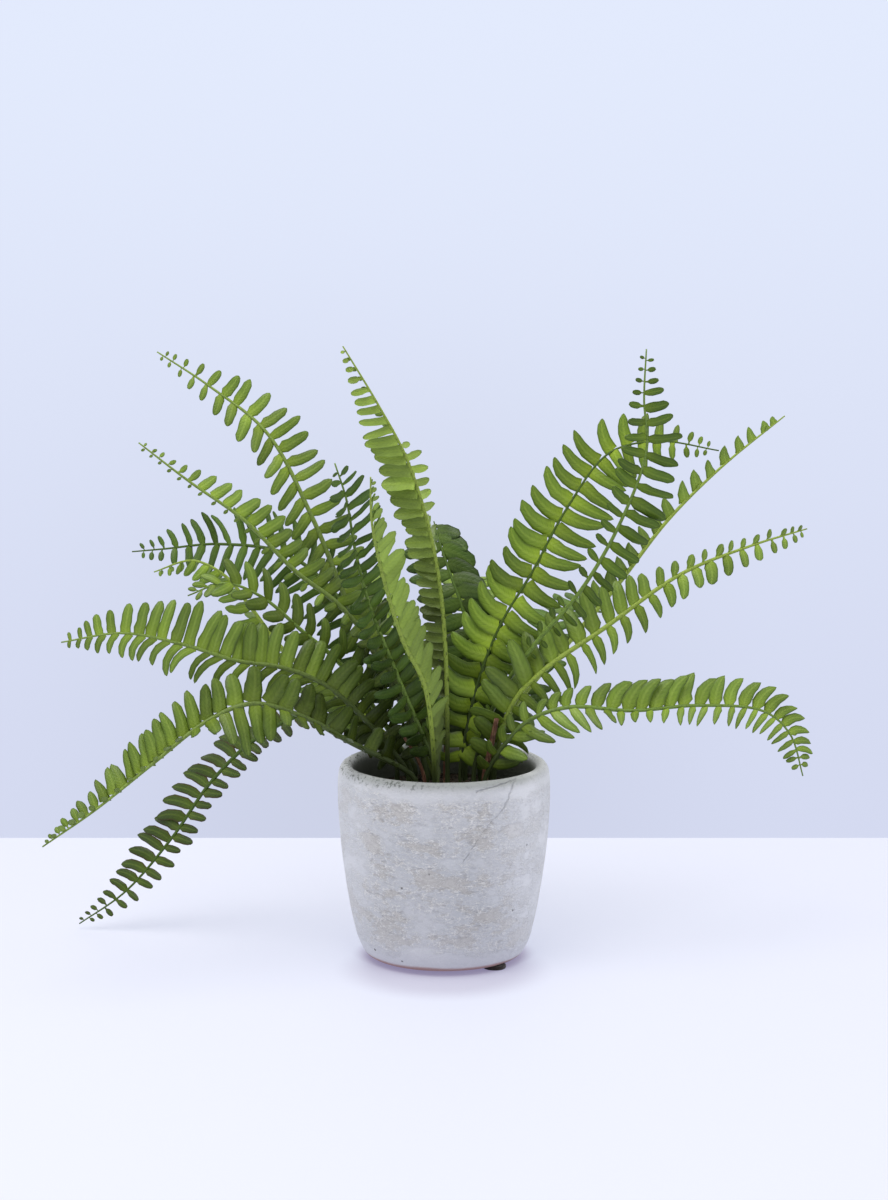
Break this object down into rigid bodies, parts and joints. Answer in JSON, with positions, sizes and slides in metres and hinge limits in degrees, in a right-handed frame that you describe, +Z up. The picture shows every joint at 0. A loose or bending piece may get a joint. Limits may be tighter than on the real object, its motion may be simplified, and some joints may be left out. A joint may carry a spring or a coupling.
{
  "type": "potted fern",
  "caption": "Fern with long arching feathered fronds rising from the soil of a small round-bellied cement pot on felt pads.",
  "frame": {"origin": "on the pot's axis, in the plane that the felt pads stand on", "axes": "+Z up along the pot's axis, +X to the right as the plant is seen from the front, -Y to the front"},
  "size_m": [0.426, 0.298, 0.351],
  "materials": {
    "cement": "whitewashed, worn and matt",
    "felt": "dense dark felt",
    "soil": "crumbly potting mix",
    "stub": "dry reddish brown stalk",
    "leaf_bright": "satin yellow green leaf",
    "leaf_mid": "satin mid green leaf",
    "leaf_deep": "satin deep green leaf"
  },
  "bodies": {
    "root": {"pot": "cement", "pad_1": "felt", "pad_2": "felt", "pad_3": "felt", "soil": "soil", "stub_middle": "stub", "stub_right": "stub", "stub_left": "stub", "frond_upper_left": "leaf_mid", "frond_left_second": "leaf_mid", "frond_left_dark": "leaf_deep", "frond_left_small": "leaf_bright", "frond_left_inner": "leaf_mid", "frond_left_level": "leaf_mid", "frond_left_drooping": "leaf_mid", "frond_left_trailing": "leaf_deep", "frond_centre_dark": "leaf_deep", "frond_tall": "leaf_bright", "frond_front": "leaf_bright", "frond_centre_back": "leaf_deep", "frond_right_broad": "leaf_bright", "frond_right_upright": "leaf_mid", "frond_right_folded": "leaf_mid", "frond_right_middle": "leaf_mid", "frond_right_low": "leaf_mid", "frond_back_middle": "leaf_bright", "frond_back_right": "leaf_deep", "frond_back_left": "leaf_mid"}
  },
  "joints": []
}
